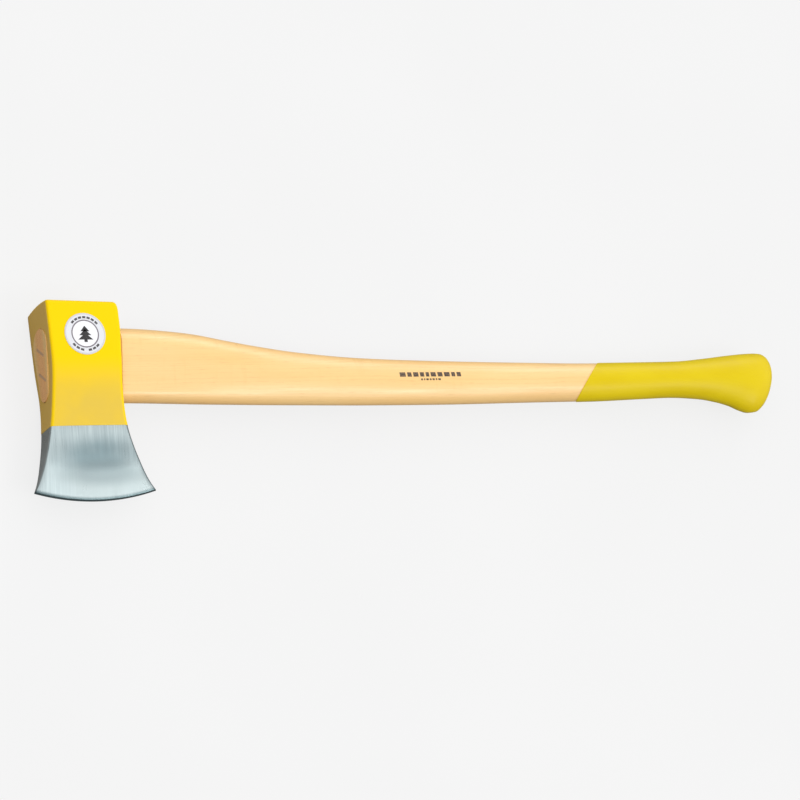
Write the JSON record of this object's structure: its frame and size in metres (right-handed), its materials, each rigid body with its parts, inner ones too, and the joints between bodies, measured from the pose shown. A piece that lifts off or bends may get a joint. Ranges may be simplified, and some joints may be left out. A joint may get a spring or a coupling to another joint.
{
  "type": "splitting axe",
  "caption": "Splitting axe with a wedge-shaped steel head, flat poll and flared bit, on a curved ash handle with a dipped grip and a fawn's-foot end.",
  "frame": {"origin": "centre of the flat poll face, on its paint", "axes": "+X along the handle, from the head to the fawn's-foot end; +Y out of the poll, away from the cutting edge; +Z through the head's thickness, out of the cheek that carries the round label. The axe lies on its side."},
  "size_m": [0.8256, 0.1861, 0.0524],
  "materials": {
    "head_steel": "ground along the blade, satin, with a thin polished bevel at the cutting edge",
    "head_paint": "satin yellow paint over the forging's skin",
    "label": "white coated paper with grey print, semi-gloss",
    "handle_wood": "pale ash, fine sanded and waxed, grain lengthwise",
    "grip_dip": "glossy yellow dip lacquer",
    "wedge_wood": "reddish hardwood, end grain, sawn flush",
    "wedge_steel": "dull rolled steel, ground flush"
  },
  "bodies": {
    "root": {"axe_head": "head_steel", "head_paint": "head_paint", "head_label": "label", "handle": "handle_wood", "grip_paint": "grip_dip", "wooden_wedge": "wedge_wood", "steel_wedge_poll": "wedge_steel", "steel_wedge_bit": "wedge_steel"}
  },
  "joints": []
}
